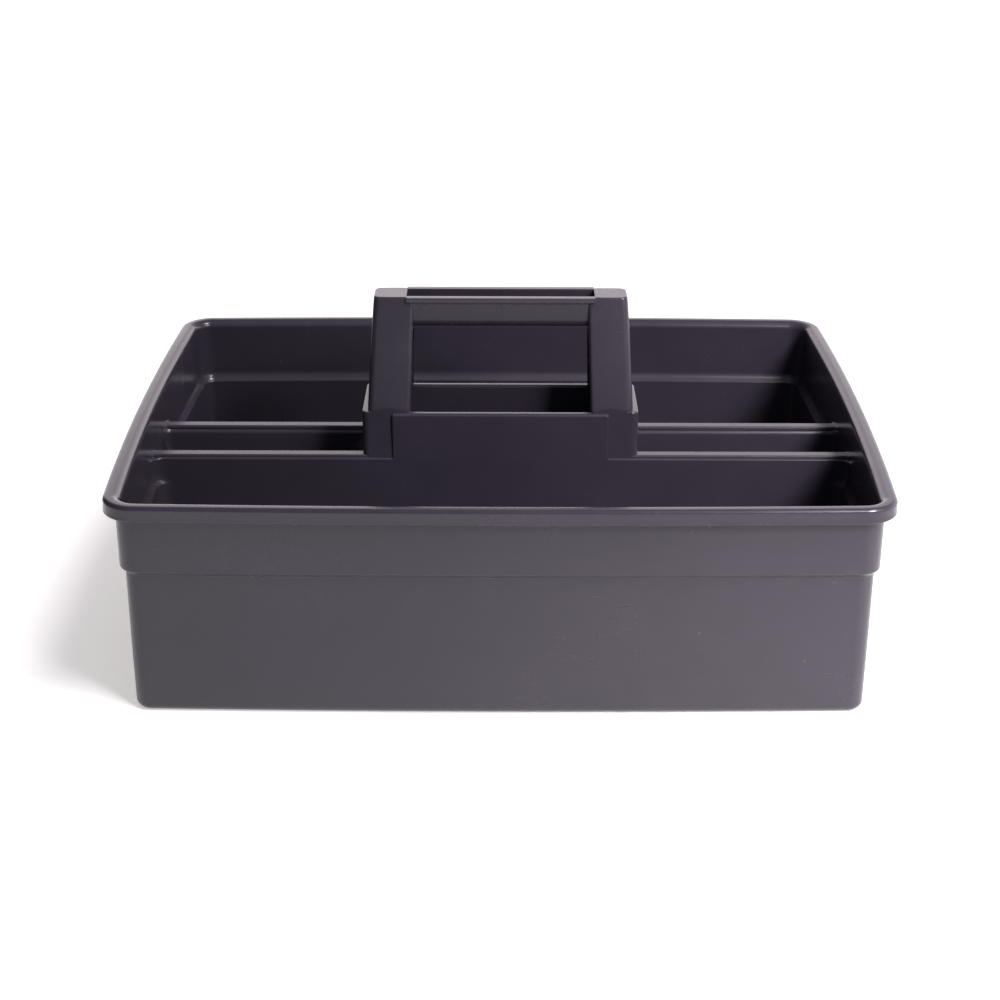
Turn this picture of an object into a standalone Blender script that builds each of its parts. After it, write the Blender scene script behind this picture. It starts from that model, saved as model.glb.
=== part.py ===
"""Tool storage caddy: an open moulded tub with a rolled rim, a front bay, a rear bay and a
centre channel between two hollow dividers. A tapered carrying tower stands on the dividers:
two channel-section legs, two centre panels and an open trough grip between the legs.

Frame: metres, +Z up, the length along X, the front at -Y, the origin on the floor at the
centre of the base.
"""

import math

import bmesh
import bpy
from mathutils import Vector

# --- driving dimensions, in metres -------------------------------------------------------
LENGTH = 0.400            # over the rim, at the middle of the sides
WIDTH = 0.300             # over the rim, at the middle of the front and back
TUB_HEIGHT = 0.1185       # top of the rim
WALL = 0.0023             # moulded wall and floor
GAP = 0.0003              # clearance between neighbouring pieces

BOW_SIDE = 0.0042         # how far the short sides bulge in plan
BOW_FRONT = 0.0031        # how far the front and back bulge in plan
RIM_RADIUS = 0.0165       # plan radius of the rim's corners
CORNER_SHRINK = 0.85      # share of an inset by which that radius shrinks
RIM_WIDTH = 0.0088        # rim's outer face to the tub's inner face
RIM_DROP = 0.0080         # height of the rim's hanging lip
RIM_ROUND_OUT = 0.0022    # rounding of the rim's outer top edge
RIM_ROUND_IN = 0.0014     # rounding of the rim's inner top edge
STEP_DROP = 0.0389        # rim top to the step in the walls
STEP_WIDTH = 0.0026       # how far the walls step in there
WALL_DRAFT = 0.0005       # how far each stretch of wall leans in
FLOOR_RADIUS = 0.0042     # inner radius between the walls and the floor

DIVIDER_HEIGHT = 0.0967   # top of a divider
DIVIDER_WIDTH = 0.0088    # outer width of a hollow divider, at its top
DIVIDER_PITCH = 0.0432    # between the centres of the two dividers
DIVIDER_DRAFT = 0.0010    # how far each divider face leans out towards the floor
LAND_STEP = 0.0009        # the land on top is this much narrower on each side
LAND_HEIGHT = 0.0020      # height of that step

PANEL_LENGTH = 0.1180     # centre panels, along X
PANEL_TOP = 0.1204        # top edge of the centre panels
PANEL_DRAFT = 0.0010      # how far a panel leans in over its height
PANEL_WALL = 0.0046       # thickness of a centre panel
PANEL_ROUND = 0.0016      # rounding along its top

FOOT_LENGTH = 0.1506      # over both feet of the tower
FOOT_LEAN = 0.0018        # how far a foot's front leans in over its height
SHOULDER = 0.0026         # ledge between a foot and the leg above it
TOWER_HEIGHT = 0.1815     # top of the handle
TOWER_DEPTH = 0.0176      # depth of the tower at its top
TOWER_LEAN = 0.0035       # how far a leg's outer side leans in over its height
WINDOW_TOP_LENGTH = 0.0924
WINDOW_FLARE = 0.0018     # how much further out the window's side is at its bottom

GRIP_HEIGHT = 0.0172      # grip's underside to its top
GRIP_DEPTH = 0.0180       # over the grip's two side walls
GRIP_WALL = 0.0028        # its side walls, floor and end walls
GRIP_ROUND = 0.0045       # rounding under the grip
SLOT_LENGTH = 0.1016      # open trough on top of the grip, along X
LIP_OUT = 0.0021          # how far the grip's top lips stand out
LIP_HEIGHT = 0.0027

EDGE = 0.0006             # small edge rounding on the tower's pieces
SIDE_STEPS = 10           # facets along each side of a plan outline
CORNER_STEPS = 6          # facets round each corner
ROUND_STEPS = 3           # facets in a small rounding
SHARP_ANGLE = 50          # degrees; edges sharper than this stay sharp or get rounded
SAME_PLACE = 1e-6         # tolerance when picking edges

# --- places worked out from them ---------------------------------------------------------
DIVIDER_Y = DIVIDER_PITCH / 2
DIVIDER_FACE = DIVIDER_Y + DIVIDER_WIDTH / 2
LAND_FACE = DIVIDER_FACE - LAND_STEP
SEAT_Z = DIVIDER_HEIGHT + GAP
DIVIDER_ROOF = WALL + LAND_HEIGHT / 2
LEG_Z = PANEL_TOP + GAP
LEG_HOLLOW_Z = LEG_Z - 2 * WALL
FOOT_X = FOOT_LENGTH / 2
LEG_X = FOOT_X - SHOULDER
PANEL_X = PANEL_LENGTH / 2
LEG_FACE = LAND_FACE - FOOT_LEAN
WINDOW_X = WINDOW_TOP_LENGTH / 2
GRIP_Z = TOWER_HEIGHT - GRIP_HEIGHT
SLOT_X = SLOT_LENGTH / 2
GRIP_X = SLOT_X + GRIP_WALL
OVER = 0.01               # how far a cutter runs past what it cuts
FOOT_OVER = 0.002         # the same, under a foot

COLOUR_TUB = (0.088, 0.080, 0.088, 1.0)
COLOUR_HANDLE = (0.092, 0.084, 0.092, 1.0)
ROUGHNESS = 0.42


def clear_scene():
    """Remove every object, so that the model is all that the scene holds."""
    for item in list(bpy.data.objects):
        bpy.data.objects.remove(item)


def new_collection(name):
    """Make a collection in the scene and return it."""
    group = bpy.data.collections.new(name)
    bpy.context.scene.collection.children.link(group)
    return group


def plastic(name, colour):
    """A satin moulded plastic."""
    material = bpy.data.materials.new(name)
    material.use_nodes = True
    shader = material.node_tree.nodes["Principled BSDF"]
    shader.inputs["Base Color"].default_value = colour
    shader.inputs["Roughness"].default_value = ROUGHNESS
    shader.inputs["Metallic"].default_value = 0.0
    return material


def add_object(name, mesh, group, material=None):
    """Link a mesh as a named object."""
    item = bpy.data.objects.new(name, mesh)
    group.objects.link(item)
    if material is not None:
        mesh.materials.append(material)
    return item


def shade_round(mesh):
    """Shade a rounded piece smooth, with its sharp edges kept."""
    mesh.shade_smooth()
    mesh.set_sharp_from_angle(angle=math.radians(SHARP_ANGLE))


def cutter_object(name, mesh, group):
    """Link a mesh as a construction piece, which isn't part of the caddy."""
    item = add_object(name, mesh, group)
    item.hide_render = True
    item.display_type = "WIRE"
    return item


def outline(inset, radius):
    """Plan outline of the tub: a rounded rectangle whose four sides bulge a little."""
    half_x = LENGTH / 2 - BOW_SIDE - inset
    half_y = WIDTH / 2 - BOW_FRONT - inset
    points = []
    for turn in range(4):
        across = turn % 2 == 0
        reach, breadth = (half_x, half_y) if across else (half_y, half_x)
        for step in range(1, SIDE_STEPS):
            slide = (breadth - radius) * (2 * step / SIDE_STEPS - 1)
            points.append(rotated(reach, slide, turn))
        for step in range(CORNER_STEPS + 1):
            angle = math.pi / 2 * step / CORNER_STEPS
            along = reach - radius + radius * math.cos(angle)
            aside = breadth - radius + radius * math.sin(angle)
            points.append(rotated(along, aside, turn))
    bulged = []
    for point in points:
        share_x = 1 - (point.y / half_y) ** 2
        share_y = 1 - (point.x / half_x) ** 2
        bulge_x = BOW_SIDE * share_x * point.x / half_x
        bulge_y = BOW_FRONT * share_y * point.y / half_y
        bulged.append((point.x + bulge_x, point.y + bulge_y))
    return bulged


def rotated(along, aside, turns):
    """A plan point turned by quarter turns."""
    point = Vector((along, aside, 0))
    for _ in range(turns):
        point = Vector((-point.y, point.x, 0))
    return point


def loft(name, levels, cap_first, cap_last):
    """Skin a list of (inset, height, corner radius) levels with quads, from first to last."""
    shape = bmesh.new()
    rings = []
    for inset, height, radius in levels:
        ring = [shape.verts.new((x, y, height)) for x, y in outline(inset, radius)]
        rings.append(ring)
    for lower, upper in zip(rings, rings[1:]):
        count = len(lower)
        for k in range(count):
            after = (k + 1) % count
            shape.faces.new((lower[k], lower[after], upper[after], upper[k]))
    if cap_first:
        shape.faces.new(list(reversed(rings[0])))
    if cap_last:
        shape.faces.new(rings[-1])
    bmesh.ops.recalc_face_normals(shape, faces=shape.faces)
    mesh = bpy.data.meshes.new(name)
    shape.to_mesh(mesh)
    shape.free()
    return mesh


def corner_radius(inset):
    """Plan corner radius at an inset from the rim: it shrinks more slowly than the outline."""
    return RIM_RADIUS - CORNER_SHRINK * inset


def level(inset, height):
    """One level of the tub's skin."""
    return inset, height, corner_radius(inset)


def arc_levels(inset, height, radius, start, end):
    """Levels round a small rounding whose centre is at (inset, height); angles in quarter turns."""
    levels = []
    for step in range(ROUND_STEPS + 1):
        angle = math.pi / 2 * (start + (end - start) * step / ROUND_STEPS)
        levels.append(level(inset - radius * math.cos(angle), height + radius * math.sin(angle)))
    return levels


def cavity_levels(clearance):
    """The tub's inner face from the floor up to the rim, drawn in by a clearance."""
    band = RIM_WIDTH + clearance
    lower = band + STEP_WIDTH + WALL_DRAFT
    step_z = TUB_HEIGHT - STEP_DROP
    floor_z = WALL + clearance
    foot = lower + WALL_DRAFT
    levels = []
    for step in range(ROUND_STEPS + 1):
        angle = math.pi / 2 * step / ROUND_STEPS
        inset = foot + FLOOR_RADIUS * (1 - math.sin(angle))
        levels.append(level(inset, floor_z + FLOOR_RADIUS * (1 - math.cos(angle))))
    levels.append(level(lower, step_z - STEP_WIDTH / 2 + clearance))
    levels.append(level(band + WALL_DRAFT, step_z + STEP_WIDTH / 2 + clearance))
    levels.append(level(band, TUB_HEIGHT - RIM_ROUND_IN))
    return levels


def make_tub(group, material):
    """The tub: its upper skin from the hanging lip over the rim and down to the floor, thickened."""
    levels = cavity_levels(0.0)
    inner = RIM_WIDTH - RIM_ROUND_IN
    levels += arc_levels(inner, TUB_HEIGHT - RIM_ROUND_IN, RIM_ROUND_IN, 2, 1)[1:]
    levels += arc_levels(RIM_ROUND_OUT, TUB_HEIGHT - RIM_ROUND_OUT, RIM_ROUND_OUT, 1, 0)
    levels.append(level(0.0, TUB_HEIGHT - RIM_DROP))
    mesh = loft("tub", levels, cap_first=True, cap_last=False)
    shade_round(mesh)
    tub = add_object("tub", mesh, group, material)
    shell = tub.modifiers.new("wall", "SOLIDIFY")
    shell.thickness = WALL
    shell.offset = -1
    shell.use_even_offset = True
    return tub


def box_mesh(name, low, high):
    """A box between two corners."""
    return taper_mesh(name, (low[0], high[0], low[1], high[1]), (low[0], high[0], low[1], high[1]),
                      low[2], high[2])


def taper_mesh(name, lower, upper, bottom, top):
    """A block whose bottom and top are different rectangles, each (x0, x1, y0, y1)."""
    shape = bmesh.new()
    bmesh.ops.create_cube(shape, size=2.0)
    for vert in shape.verts:
        x0, x1, y0, y1 = upper if vert.co.z > 0 else lower
        vert.co = Vector((
            x1 if vert.co.x > 0 else x0,
            y1 if vert.co.y > 0 else y0,
            top if vert.co.z > 0 else bottom,
        ))
    mesh = bpy.data.meshes.new(name)
    shape.to_mesh(mesh)
    shape.free()
    return mesh


def combine(item, other, operation):
    """Add an exact Boolean of another object."""
    step = item.modifiers.new(operation.lower(), "BOOLEAN")
    step.operation = operation
    step.solver = "EXACT"
    step.object = other


def soften(item, width, segments=2):
    """Round the sharp edges a little."""
    bevel = item.modifiers.new("edges", "BEVEL")
    bevel.width = width
    bevel.segments = segments
    bevel.limit_method = "ANGLE"
    bevel.angle_limit = math.radians(SHARP_ANGLE)
    bevel.use_clamp_overlap = True


def make_divider(name, side, group, cutters, material, cavity):
    """A hollow divider, open underneath, trimmed to the tub's inner faces. side is -1 at the front."""
    half_x = LENGTH / 2
    half_top = DIVIDER_WIDTH / 2
    half_foot = half_top + DIVIDER_DRAFT
    centre = side * DIVIDER_Y
    mesh = taper_mesh(
        name,
        (-half_x, half_x, centre - half_foot, centre + half_foot),
        (-half_x, half_x, centre - half_top, centre + half_top),
        WALL + GAP, DIVIDER_HEIGHT,
    )
    divider = add_object(name, mesh, group, material)
    hollow_top = half_top - WALL
    hollow = cutter_object(name + "_hollow", taper_mesh(
        name + "_hollow",
        (-half_x - OVER, half_x + OVER, centre - half_foot + WALL, centre + half_foot - WALL),
        (-half_x - OVER, half_x + OVER, centre - hollow_top, centre + hollow_top),
        WALL, DIVIDER_HEIGHT - DIVIDER_ROOF,
    ), cutters)
    combine(divider, hollow, "DIFFERENCE")
    step_z = DIVIDER_HEIGHT - LAND_HEIGHT
    channel_face = side * (DIVIDER_Y - DIVIDER_WIDTH / 2 + LAND_STEP)
    outer_face = side * LAND_FACE
    notches = [
        ("channel", -half_x - OVER, half_x + OVER, channel_face - side * OVER, channel_face),
        ("left", -half_x - OVER, -PANEL_X, outer_face, outer_face + side * OVER),
        ("right", PANEL_X, half_x + OVER, outer_face, outer_face + side * OVER),
    ]
    for label, x0, x1, y_a, y_b in notches:
        notch = cutter_object(name + "_step_" + label, box_mesh(
            name + "_step_" + label,
            (x0, min(y_a, y_b), step_z),
            (x1, max(y_a, y_b), DIVIDER_HEIGHT + OVER),
        ), cutters)
        combine(divider, notch, "DIFFERENCE")
    combine(divider, cavity, "INTERSECT")
    return divider


def round_long_edges(mesh, height, least_length, radius):
    """Round the edges that run along X at a height and are longer than a length."""
    shape = bmesh.new()
    shape.from_mesh(mesh)
    picked = []
    for edge in shape.edges:
        at_height = all(abs(vert.co.z - height) < SAME_PLACE for vert in edge.verts)
        along_x = abs(edge.verts[0].co.x - edge.verts[1].co.x) > least_length
        if at_height and along_x:
            picked.append(edge)
    bmesh.ops.bevel(
        shape, geom=picked, offset=radius, segments=ROUND_STEPS + 1, profile=0.5,
        affect="EDGES",
    )
    shape.to_mesh(mesh)
    shape.free()
    shade_round(mesh)


def make_panel(name, side, group, material):
    """A raised centre panel, standing on a divider and flush with its outer face."""
    faces_low = sorted((side * DIVIDER_FACE, side * (DIVIDER_FACE - PANEL_WALL)))
    top_face = DIVIDER_FACE - PANEL_DRAFT
    faces_high = sorted((side * top_face, side * (top_face - PANEL_WALL)))
    mesh = taper_mesh(
        name,
        (-PANEL_X, PANEL_X, faces_low[0], faces_low[1]),
        (-PANEL_X, PANEL_X, faces_high[0], faces_high[1]),
        SEAT_Z, PANEL_TOP,
    )
    round_long_edges(mesh, PANEL_TOP, PANEL_X, PANEL_ROUND)
    panel = add_object(name, mesh, group, material)
    soften(panel, EDGE)
    return panel


def ordered(side, near, far):
    """A stretch along X, given as distances from the centre, on one side."""
    return tuple(sorted((side * near, side * far)))


def make_leg(name, side, group, cutters, material):
    """One channel-section leg with its wider foot, open towards the window. side is -1 at the left."""
    top_x = LEG_X - TOWER_LEAN
    top_face = TOWER_DEPTH / 2
    inner_low = WINDOW_X + WINDOW_FLARE
    leg_low = ordered(side, inner_low, LEG_X) + (-LEG_FACE, LEG_FACE)
    leg_high = ordered(side, WINDOW_X, top_x) + (-top_face, top_face)
    leg = add_object(name, taper_mesh(name, leg_low, leg_high, LEG_Z, TOWER_HEIGHT), group, material)
    foot_inner = PANEL_X + GAP
    foot_low = ordered(side, foot_inner, FOOT_X) + (-LAND_FACE, LAND_FACE)
    foot_high = ordered(side, foot_inner, FOOT_X) + (-LEG_FACE, LEG_FACE)
    foot = cutter_object(name + "_foot", taper_mesh(
        name + "_foot", foot_low, foot_high, SEAT_Z, LEG_Z), cutters)
    combine(leg, foot, "UNION")
    open_end = foot_inner - OVER
    foot_hollow = cutter_object(name + "_foot_hollow", taper_mesh(
        name + "_foot_hollow",
        ordered(side, open_end, FOOT_X - WALL) + (-LAND_FACE + WALL, LAND_FACE - WALL),
        ordered(side, open_end, FOOT_X - WALL) + (-LEG_FACE + WALL, LEG_FACE - WALL),
        SEAT_Z - FOOT_OVER, LEG_Z - WALL,
    ), cutters)
    combine(leg, foot_hollow, "DIFFERENCE")
    leg_hollow = cutter_object(name + "_hollow", taper_mesh(
        name + "_hollow",
        ordered(side, WINDOW_X - OVER, LEG_X - WALL) + (-LEG_FACE + WALL, LEG_FACE - WALL),
        ordered(side, WINDOW_X - OVER, top_x - WALL) + (-top_face + WALL, top_face - WALL),
        LEG_HOLLOW_Z, TOWER_HEIGHT - WALL,
    ), cutters)
    combine(leg, leg_hollow, "DIFFERENCE")
    seat_x = ordered(side, WINDOW_X - OVER, GRIP_X + GAP)
    seat = cutter_object(name + "_grip_seat", box_mesh(
        name + "_grip_seat",
        (seat_x[0], -LEG_FACE - OVER, GRIP_Z - GAP),
        (seat_x[1], LEG_FACE + OVER, TOWER_HEIGHT + OVER),
    ), cutters)
    combine(leg, seat, "DIFFERENCE")
    return leg


def tower_half_depth(height):
    """Half the tower's depth at a height above its feet."""
    share = (height - LEG_Z) / (TOWER_HEIGHT - LEG_Z)
    return LEG_FACE + (TOWER_DEPTH / 2 - LEG_FACE) * share


def trough_mesh(name):
    """The grip's body as a block whose two long lower edges are rounded for the fingers."""
    half = GRIP_DEPTH / 2
    mesh = box_mesh(name, (-GRIP_X, -half, GRIP_Z), (GRIP_X, half, TOWER_HEIGHT))
    round_long_edges(mesh, GRIP_Z, GRIP_X, GRIP_ROUND)
    return mesh


def make_grip(group, cutters, material):
    """The trough grip: round underneath, open on top, a lip along each side, a gusset at each end."""
    grip = add_object("grip", trough_mesh("grip"), group, material)
    low_face = tower_half_depth(GRIP_Z)
    for label, side in (("left", -1), ("right", 1)):
        reach = ordered(side, WINDOW_X, GRIP_X)
        gusset = cutter_object("grip_gusset_" + label, taper_mesh(
            "grip_gusset_" + label,
            reach + (-low_face, low_face),
            reach + (-TOWER_DEPTH / 2, TOWER_DEPTH / 2),
            GRIP_Z, TOWER_HEIGHT,
        ), cutters)
        combine(grip, gusset, "UNION")
    lip_face = GRIP_DEPTH / 2 + LIP_OUT
    lips = cutter_object("grip_lips", box_mesh(
        "grip_lips",
        (-SLOT_X, -lip_face, TOWER_HEIGHT - LIP_HEIGHT),
        (SLOT_X, lip_face, TOWER_HEIGHT),
    ), cutters)
    combine(grip, lips, "UNION")
    slot_face = GRIP_DEPTH / 2 - GRIP_WALL
    slot = cutter_object("grip_slot", box_mesh(
        "grip_slot",
        (-SLOT_X, -slot_face, GRIP_Z + GRIP_WALL),
        (SLOT_X, slot_face, TOWER_HEIGHT + OVER),
    ), cutters)
    combine(grip, slot, "DIFFERENCE")
    return grip


def main():
    """Build the caddy."""
    clear_scene()
    caddy = new_collection("tool_storage_caddy")
    cutters = new_collection("construction")
    tub_plastic = plastic("tub_plastic", COLOUR_TUB)
    handle_plastic = plastic("handle_plastic", COLOUR_HANDLE)
    make_tub(caddy, tub_plastic)
    levels = cavity_levels(GAP)
    cavity = cutter_object("cavity", loft("cavity", levels, True, True), cutters)
    make_divider("front_divider", -1, caddy, cutters, tub_plastic, cavity)
    make_divider("rear_divider", 1, caddy, cutters, tub_plastic, cavity)
    make_panel("front_panel", -1, caddy, handle_plastic)
    make_panel("rear_panel", 1, caddy, handle_plastic)
    make_leg("left_leg", -1, caddy, cutters, handle_plastic)
    make_leg("right_leg", 1, caddy, cutters, handle_plastic)
    make_grip(caddy, cutters, handle_plastic)


main()
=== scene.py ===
"""Tool storage caddy: a moulded tub with a rolled rim, two hollow dividers with a channel
between them, and a carrying tower with two legs, two centre panels and a trough grip.

Metres, +Z up, length along X, front at -Y, the origin on the floor under the centre.
"""

import math

import bmesh
import bpy
from bpy.props import FloatProperty, FloatVectorProperty, PointerProperty
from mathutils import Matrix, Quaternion, Vector


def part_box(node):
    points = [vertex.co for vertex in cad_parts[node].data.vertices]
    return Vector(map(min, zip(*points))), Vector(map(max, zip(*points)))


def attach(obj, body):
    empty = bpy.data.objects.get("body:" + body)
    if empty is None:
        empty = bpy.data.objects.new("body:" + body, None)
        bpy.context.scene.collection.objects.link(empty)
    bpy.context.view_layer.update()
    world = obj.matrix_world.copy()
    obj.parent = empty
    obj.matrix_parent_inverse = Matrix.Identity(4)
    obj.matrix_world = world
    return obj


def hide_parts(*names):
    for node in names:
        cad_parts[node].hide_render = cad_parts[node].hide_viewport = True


bl_info = {
    "name": "Tool storage caddy",
    "version": (1, 0, 0),
    "blender": (4, 5, 0),
    "location": "3D View > Sidebar > Caddy",
    "description": "Builds a moulded tool caddy with dividers, a carrying tower and a grip",
    "category": "Add Mesh",
}

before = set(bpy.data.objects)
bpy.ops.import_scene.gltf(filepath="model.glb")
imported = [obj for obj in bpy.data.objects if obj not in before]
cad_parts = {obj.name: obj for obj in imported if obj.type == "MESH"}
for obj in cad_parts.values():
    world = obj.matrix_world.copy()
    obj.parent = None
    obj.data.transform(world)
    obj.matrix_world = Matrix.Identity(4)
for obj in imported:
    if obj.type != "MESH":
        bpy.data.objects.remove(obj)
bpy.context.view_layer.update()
TUB_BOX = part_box("tub")
DIVIDER_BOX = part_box("front_divider")
PANEL_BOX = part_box("front_panel")
LEG_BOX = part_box("right_leg")
GRIP_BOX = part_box("grip")

MM = 0.001
BODY = "root"
SHARP_DEGREES = 32.0
WELD = 1e-6
HALF_LENGTH = TUB_BOX[1].x
HALF_WIDTH = TUB_BOX[1].y
RIM_TOP = TUB_BOX[1].z
DIVIDER_TOP = DIVIDER_BOX[1].z
PANEL_HALF = PANEL_BOX[1].x
PANEL_TOP = PANEL_BOX[1].z
FOOT_SIDE = LEG_BOX[1].x
TOWER_TOP = GRIP_BOX[1].z
GRIP_UNDER = GRIP_BOX[0].z


# --- settings ----------------------------------------------------------------------------
def length(name, description, millimetres):
    """A length setting, given in millimetres and kept in metres."""
    return FloatProperty(
        name=name, description=description, default=millimetres * MM,
        unit="LENGTH", subtype="DISTANCE", precision=4,
    )


class CaddyTubSizes(bpy.types.PropertyGroup):
    """Sizes of the tub."""

    wall: length("Wall", "Thickness of the moulded wall", 2.3)
    rim_width: length("Rim width", "Outer face of the rim to the inner face of the tub", 8.7)
    rim_drop: length("Rim drop", "Height of the rim's hanging lip", 8.0)
    rim_radius: length("Rim corner", "Plan radius of the rim's corners", 16.5)
    rim_round_out: length("Outer rounding", "Rounding of the rim's outer top edge", 2.1)
    rim_round_in: length("Inner rounding", "Rounding of the rim's inner top edge", 4.4)
    bead: length("Bead", "Radius of the bead along the hanging lip", 0.8)
    bow_side: length("Side bow", "How far the short sides bulge", 4.2)
    bow_front: length("Front bow", "How far the front and back bulge", 3.1)
    step_drop: length("Step drop", "Top of the rim to the step in the walls", 38.9)
    step_width: length("Step width", "How far the walls step in", 2.6)
    floor_radius: length("Floor radius", "Inner radius between the walls and the floor", 4.2)
    base_radius: length("Base radius", "Outer radius between the walls and the base", 4.5)


class CaddyDividerSizes(bpy.types.PropertyGroup):
    """Sizes of the dividers."""

    pitch: length("Pitch", "Between the centres of the two dividers", 43.2)
    width: length("Width", "Outer width of a divider under its land", 8.8)
    draft: length("Draft", "How far each face leans out towards the floor", 1.0)
    land_step: length("Land step", "How much narrower the land is on each side", 0.95)
    land_height: length("Land height", "Height of the land above its ledge", 2.0)
    land_round: length("Land rounding", "Rounding along the land", 1.0)
    bay_round: length("Bay shoulder", "Rounding of the ledge on the side of a bay", 0.9)
    channel_round: length("Channel shoulder", "The same, on the side of the channel", 3.0)
    bay_fillet: length("Bay fillet", "Upright radius where a divider meets the wall of a bay", 8.0)
    channel_fillet: length("Channel fillet", "The same, on the side of the channel", 5.0)


class CaddyTowerSizes(bpy.types.PropertyGroup):
    """Sizes of the panels, legs and grip."""

    panel_wall: length("Panel wall", "Thickness of a centre panel", 4.6)
    panel_draft: length("Panel draft", "How far a panel leans in", 1.0)
    panel_round: length("Panel rounding", "Rounding along a panel's top", 1.6)
    panel_edge: length("Panel edge", "Rounding of a panel's upright edges", 0.8)
    leg_wall: length("Leg wall", "Thickness of a leg's walls", 2.0)
    leg_crown: length("Leg crown", "How far a leg's front bulges at its middle", 0.45)
    leg_edge: length("Leg edge", "Radius of a leg's outer upright edges", 3.6)
    roll: length("Rolled edge", "Radius of the rolled edge beside the hand opening", 2.2)
    lip_out: length("Lip", "How far the grip's top lips stand out", 2.1)
    lip_height: length("Lip height", "Height of the grip's top lips", 2.7)
    grip_half: length("Grip half depth", "Middle of the grip to its side", 9.0)
    grip_round: length("Grip rounding", "Rounding under the grip", 4.4)
    slot_half: length("Slot half width", "Middle of the open slot to its side", 6.15)
    slot_floor: length("Slot floor", "Thickness under the slot", 2.9)
    slot_end: length("Slot end", "Middle of the slot to its end", 50.8)


def shade(name, description, value):
    """A colour setting."""
    return FloatVectorProperty(
        name=name, description=description, default=value, size=3, min=0.0, max=1.0,
        subtype="COLOR",
    )


class CaddyPlasticLook(bpy.types.PropertyGroup):
    """Colours and gloss of the plastic."""

    tub_colour: shade("Tub colour", "Charcoal of the tub and dividers", (0.034, 0.0283, 0.0403))
    handle_colour: shade("Handle colour", "Charcoal of the tower", (0.034, 0.0283, 0.0403))
    gloss: FloatProperty(
        name="Roughness", description="Mean roughness of the plastic", default=0.25,
        min=0.0, max=1.0, subtype="FACTOR",
    )
    grain: length("Grain", "Size of the moulded grain", 0.5)


class CaddyStageSet(bpy.types.PropertyGroup):
    """Lights and floor."""

    key_strength: FloatProperty(
        name="Key light", description="Strength of the sun at the upper right", default=1.7,
    )
    side_power: FloatProperty(
        name="Side light", description="Power of the softbox at the right", default=2.0,
        unit="POWER",
    )
    beam_power: FloatProperty(
        name="Beam", description="Power of the gridded softbox in front at the right", default=1.05,
        unit="POWER",
    )
    beam_spread: FloatProperty(
        name="Beam spread", description="How widely the gridded softbox fans out",
        default=math.radians(40.0), unit="ROTATION",
    )
    floor_glow: FloatProperty(
        name="Floor glow", description="How far the floor is lit from below", default=0.44,
    )
    floor_colour: shade("Floor", "Colour of the pale floor", (0.96, 0.96, 0.96))


class CaddySettings(bpy.types.PropertyGroup):
    """All the caddy's settings."""

    tub: PointerProperty(type=CaddyTubSizes)
    divider: PointerProperty(type=CaddyDividerSizes)
    tower: PointerProperty(type=CaddyTowerSizes)
    plastic: PointerProperty(type=CaddyPlasticLook)
    stage: PointerProperty(type=CaddyStageSet)


# --- shader maths ------------------------------------------------------------------------
OBJECT_PLACE = 3
GENERATED_PLACE = 0
POINTINESS = 7
COLOUR_RESULT = 2


class Wire:
    """A node socket to use in expressions. An expression on values adds its Math nodes."""

    def __init__(self, tree, socket=None):
        self.tree = tree
        self.socket = socket

    def node(self, kind, settings=None, inputs=None, output=0):
        """Add a node, set it up, then fill or link its sockets. Returns one of its outputs."""
        made = self.tree.nodes.new("ShaderNode" + kind)
        for name, value in (settings or {}).items():
            setattr(made, name, value)
        for name, value in (inputs or {}).items():
            if isinstance(value, Wire):
                self.tree.links.new(value.socket, made.inputs[name])
            else:
                made.inputs[name].default_value = value
        return Wire(self.tree, made.outputs[output] if made.outputs else None)

    def maths(self, operation, first, second):
        """One Math node."""
        return self.node("Math", {"operation": operation}, {0: first, 1: second})

    def __add__(self, other):
        return self.maths("ADD", self, other)

    def __sub__(self, other):
        return self.maths("SUBTRACT", self, other)

    def __rsub__(self, other):
        return self.maths("SUBTRACT", other, self)

    def __mul__(self, other):
        return self.maths("MULTIPLY", self, other)

    def ramp(self, low, high):
        """The value stretched from 0 at low to 1 at high, smoothly and clamped."""
        return self.node(
            "MapRange", {"interpolation_type": "SMOOTHSTEP"},
            {"Value": self, "From Min": low, "From Max": high},
        )

    def blend(self, first, second):
        """A colour between two others, by this value."""
        return self.node(
            "Mix", {"data_type": "RGBA", "blend_type": "MIX"}, {0: self, 6: first, 7: second},
            output=COLOUR_RESULT,
        )


def opaque(colour, times=1.0):
    """A colour with its alpha, made lighter or darker."""
    return tuple(min(1.0, part * times) for part in colour) + (1.0,)


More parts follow.
